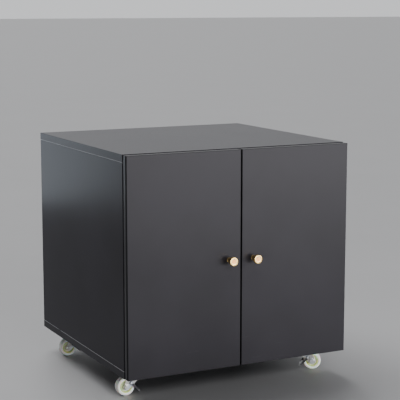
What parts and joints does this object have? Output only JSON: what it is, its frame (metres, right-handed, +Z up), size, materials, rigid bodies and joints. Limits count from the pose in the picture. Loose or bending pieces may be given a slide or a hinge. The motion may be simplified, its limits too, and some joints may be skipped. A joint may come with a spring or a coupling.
{
  "type": "rolling printer cabinet",
  "caption": "Low cabinet of dark laminated board on braked swivel casters, with a pair of overlay doors, small round knobs and an adjustable shelf, made to carry a desktop printer.",
  "frame": {"origin": "centre of the bounding box at floor level, under the middle of the cabinet", "axes": "+X to the right as seen from the front, doors face -Y, +Z up"},
  "size_m": [0.5, 0.502, 0.498],
  "materials": {
    "carcass_board": "matt anthracite melamine on chipboard",
    "door_board": "matt anthracite melamine on chipboard",
    "shelf_board": "matt anthracite melamine on chipboard",
    "edge_banding": "fine-textured ABS band",
    "back_hardboard": "lacquered hardboard",
    "nickel_steel": "nickel-plated pressed steel",
    "zinc_steel": "zinc-plated steel",
    "bright_zinc": "bright zinc-plated pressed steel",
    "brake_steel": "black-passivated pressed steel, bright where it is trodden",
    "cast_zinc": "die-cast zinc",
    "ball_steel": "polished",
    "beech": "fluted beech",
    "knob_brass": "satin champagne brass",
    "clear_silicone": "clear",
    "hub_plastic": "tinted translucent",
    "tread_plastic": "translucent soft plastic"
  },
  "bodies": {
    "cabinet": {"top_panel": "carcass_board", "bottom_panel": "carcass_board", "left_side_panel": "carcass_board", "right_side_panel": "carcass_board", "back_panel": "back_hardboard", "shelf": "shelf_board", "carcass_edge_banding": "edge_banding", "shelf_pins": "nickel_steel", "cam_locks": "cast_zinc", "cam_bolts": "zinc_steel", "wood_dowels": "beech", "hinge_plates": "nickel_steel", "hinge_arms": "nickel_steel", "hinge_plate_screws": "zinc_steel", "hinge_arm_screws": "zinc_steel", "caster_plates": "zinc_steel", "caster_screws": "zinc_steel", "caster_kingpins": "zinc_steel", "caster_balls": "ball_steel"},
    "left_door": {"left_door_panel": "door_board", "left_door_edge_banding": "edge_banding", "left_door_hinge_cups": "nickel_steel", "left_door_cup_screws": "zinc_steel", "left_door_hinge_pins": "nickel_steel", "left_door_knob": "knob_brass", "left_door_knob_screw": "zinc_steel", "left_door_bumpers": "clear_silicone"},
    "right_door": {"right_door_panel": "door_board", "right_door_edge_banding": "edge_banding", "right_door_hinge_cups": "nickel_steel", "right_door_cup_screws": "zinc_steel", "right_door_hinge_pins": "nickel_steel", "right_door_knob": "knob_brass", "right_door_knob_screw": "zinc_steel", "right_door_bumpers": "clear_silicone"},
    "front_left_swivel": {"front_left_fork": "bright_zinc", "front_left_axle_bolt": "zinc_steel", "front_left_brake_rivets": "zinc_steel"},
    "front_left_wheel": {"front_left_wheel_hub": "hub_plastic", "front_left_wheel_tread": "tread_plastic"},
    "front_left_brake": {"front_left_brake_lever": "brake_steel"},
    "front_right_swivel": {"front_right_fork": "bright_zinc", "front_right_axle_bolt": "zinc_steel", "front_right_brake_rivets": "zinc_steel"},
    "front_right_wheel": {"front_right_wheel_hub": "hub_plastic", "front_right_wheel_tread": "tread_plastic"},
    "front_right_brake": {"front_right_brake_lever": "brake_steel"},
    "rear_left_swivel": {"rear_left_fork": "bright_zinc", "rear_left_axle_bolt": "zinc_steel", "rear_left_brake_rivets": "zinc_steel"},
    "rear_left_wheel": {"rear_left_wheel_hub": "hub_plastic", "rear_left_wheel_tread": "tread_plastic"},
    "rear_left_brake": {"rear_left_brake_lever": "brake_steel"},
    "rear_right_swivel": {"rear_right_fork": "bright_zinc", "rear_right_axle_bolt": "zinc_steel", "rear_right_brake_rivets": "zinc_steel"},
    "rear_right_wheel": {"rear_right_wheel_hub": "hub_plastic", "rear_right_wheel_tread": "tread_plastic"},
    "rear_right_brake": {"rear_right_brake_lever": "brake_steel"}
  },
  "joints": [
    {"name": "left_door_hinge", "type": "hinge", "parent": "cabinet", "child": "left_door", "pos_m": [-0.2428, -0.222, 0.276], "axis": [0, 0, -1], "range_deg": [0, 95]},
    {"name": "right_door_hinge", "type": "hinge", "parent": "cabinet", "child": "right_door", "pos_m": [0.2428, -0.222, 0.276], "axis": [0, 0, 1], "range_deg": [0, 95]},
    {"name": "front_left_swivel", "type": "hinge", "parent": "cabinet", "child": "front_left_swivel", "pos_m": [-0.2, -0.143, 0.045], "axis": [0, 0, 1], "continuous": true},
    {"name": "front_left_wheel_spin", "type": "hinge", "parent": "front_left_swivel", "child": "front_left_wheel", "pos_m": [-0.22, -0.143, 0.019], "axis": [0, -1, 0], "continuous": true},
    {"name": "front_left_brake", "type": "hinge", "parent": "front_left_swivel", "child": "front_left_brake", "pos_m": [-0.211, -0.143, 0.027], "axis": [0, -1, 0], "range_deg": [-7, 0]},
    {"name": "front_right_swivel", "type": "hinge", "parent": "cabinet", "child": "front_right_swivel", "pos_m": [0.2, -0.143, 0.045], "axis": [0, 0, 1], "continuous": true},
    {"name": "front_right_wheel_spin", "type": "hinge", "parent": "front_right_swivel", "child": "front_right_wheel", "pos_m": [0.21714, -0.1533, 0.019], "axis": [0.515, 0.8572, 0], "continuous": true},
    {"name": "front_right_brake", "type": "hinge", "parent": "front_right_swivel", "child": "front_right_brake", "pos_m": [0.20943, -0.14866, 0.027], "axis": [0.515, 0.8572, 0], "range_deg": [-7, 0]},
    {"name": "rear_left_swivel", "type": "hinge", "parent": "cabinet", "child": "rear_left_swivel", "pos_m": [-0.2, 0.183, 0.045], "axis": [0, 0, 1], "continuous": true},
    {"name": "rear_left_wheel_spin", "type": "hinge", "parent": "rear_left_swivel", "child": "rear_left_wheel", "pos_m": [-0.22, 0.183, 0.019], "axis": [0, -1, 0], "continuous": true},
    {"name": "rear_left_brake", "type": "hinge", "parent": "rear_left_swivel", "child": "rear_left_brake", "pos_m": [-0.211, 0.183, 0.027], "axis": [0, -1, 0], "range_deg": [-7, 0]},
    {"name": "rear_right_swivel", "type": "hinge", "parent": "cabinet", "child": "rear_right_swivel", "pos_m": [0.2, 0.183, 0.045], "axis": [0, 0, 1], "continuous": true},
    {"name": "rear_right_wheel_spin", "type": "hinge", "parent": "rear_right_swivel", "child": "rear_right_wheel", "pos_m": [0.22, 0.183, 0.019], "axis": [0, 1, 0], "continuous": true},
    {"name": "rear_right_brake", "type": "hinge", "parent": "rear_right_swivel", "child": "rear_right_brake", "pos_m": [0.211, 0.183, 0.027], "axis": [0, 1, 0], "range_deg": [-7, 0]}
  ]
}
